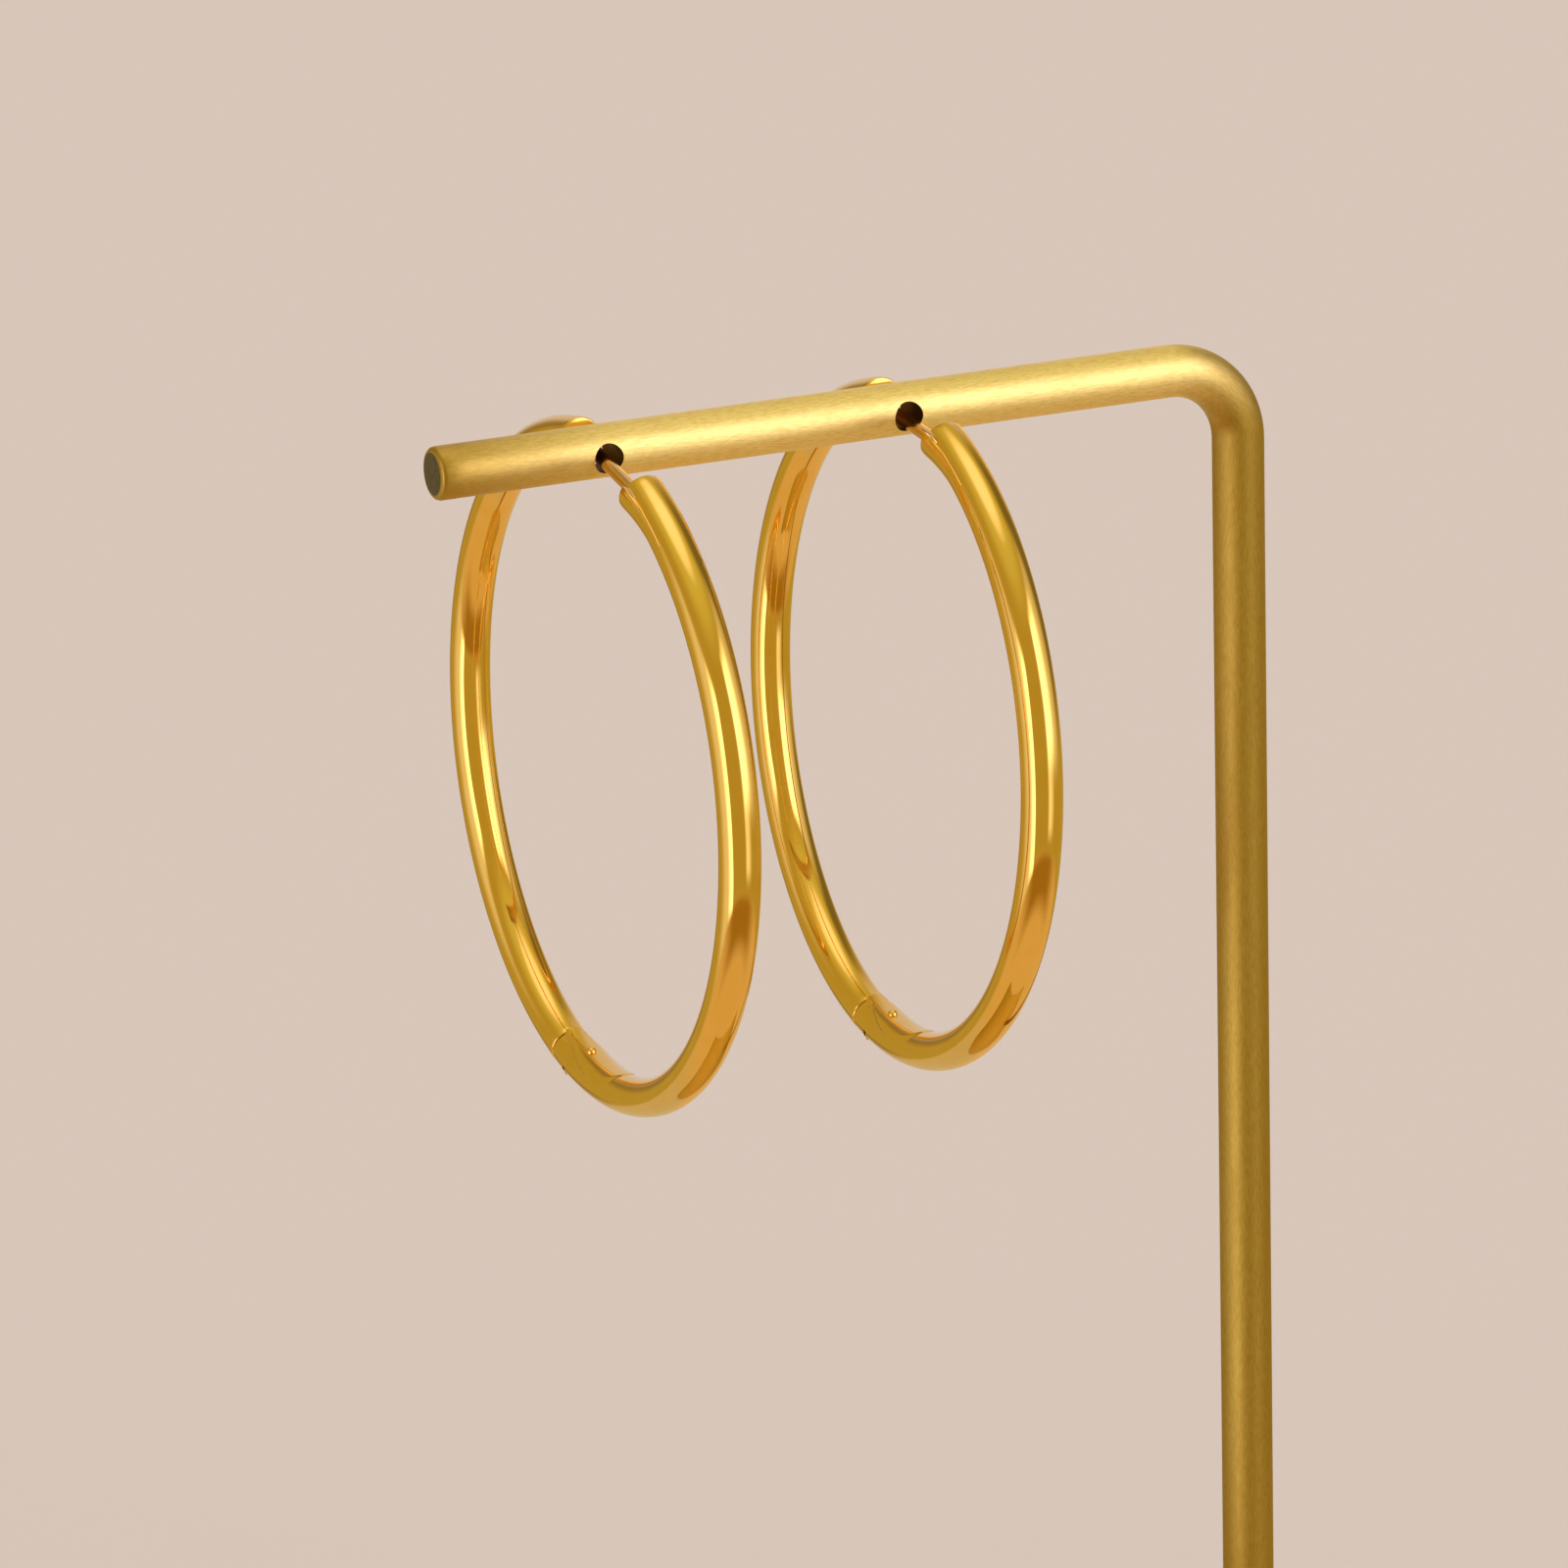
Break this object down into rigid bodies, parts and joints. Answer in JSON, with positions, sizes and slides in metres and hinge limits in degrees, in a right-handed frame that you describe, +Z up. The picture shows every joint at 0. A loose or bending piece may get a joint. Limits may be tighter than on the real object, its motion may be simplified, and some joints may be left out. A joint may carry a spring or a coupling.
{
  "type": "pair of hinged hoop earrings on a display stand",
  "caption": "Hinged tubular hoop earrings hanging by their ear posts from the drilled arm of a bent-rod metal display stand on a plain plate.",
  "frame": {"origin": "centre of the bounding box at the underside of the stand's plate", "axes": "+Z up, the arm along X with its free end towards -X, the hoops' opening halves towards -Y"},
  "size_m": [0.08, 0.056, 0.1225],
  "materials": {
    "stand_brass": "satin brushed, lacquered",
    "gold_plate": "mirror-polished gold plate",
    "pin_brass": "polished"
  },
  "bodies": {
    "stand": {"stand_base": "stand_brass", "stand_rod": "stand_brass", "hoop_a_back_half": "gold_plate", "hoop_b_back_half": "gold_plate"},
    "hoop_a_front": {"hoop_a_front_half": "gold_plate", "hoop_a_hinge_pin": "pin_brass"},
    "hoop_b_front": {"hoop_b_front_half": "gold_plate", "hoop_b_hinge_pin": "pin_brass"}
  },
  "joints": [
    {"name": "hoop_a_hinge", "type": "hinge", "parent": "stand", "child": "hoop_a_front", "pos_m": [-0.02072, 0.00575, 0.07353], "axis": [1, 0, 0], "range_deg": [0, 40]},
    {"name": "hoop_b_hinge", "type": "hinge", "parent": "stand", "child": "hoop_b_front", "pos_m": [0.00228, 0.00371, 0.07314], "axis": [0.9994, -0.0244, -0.0236], "range_deg": [0, 40]}
  ]
}
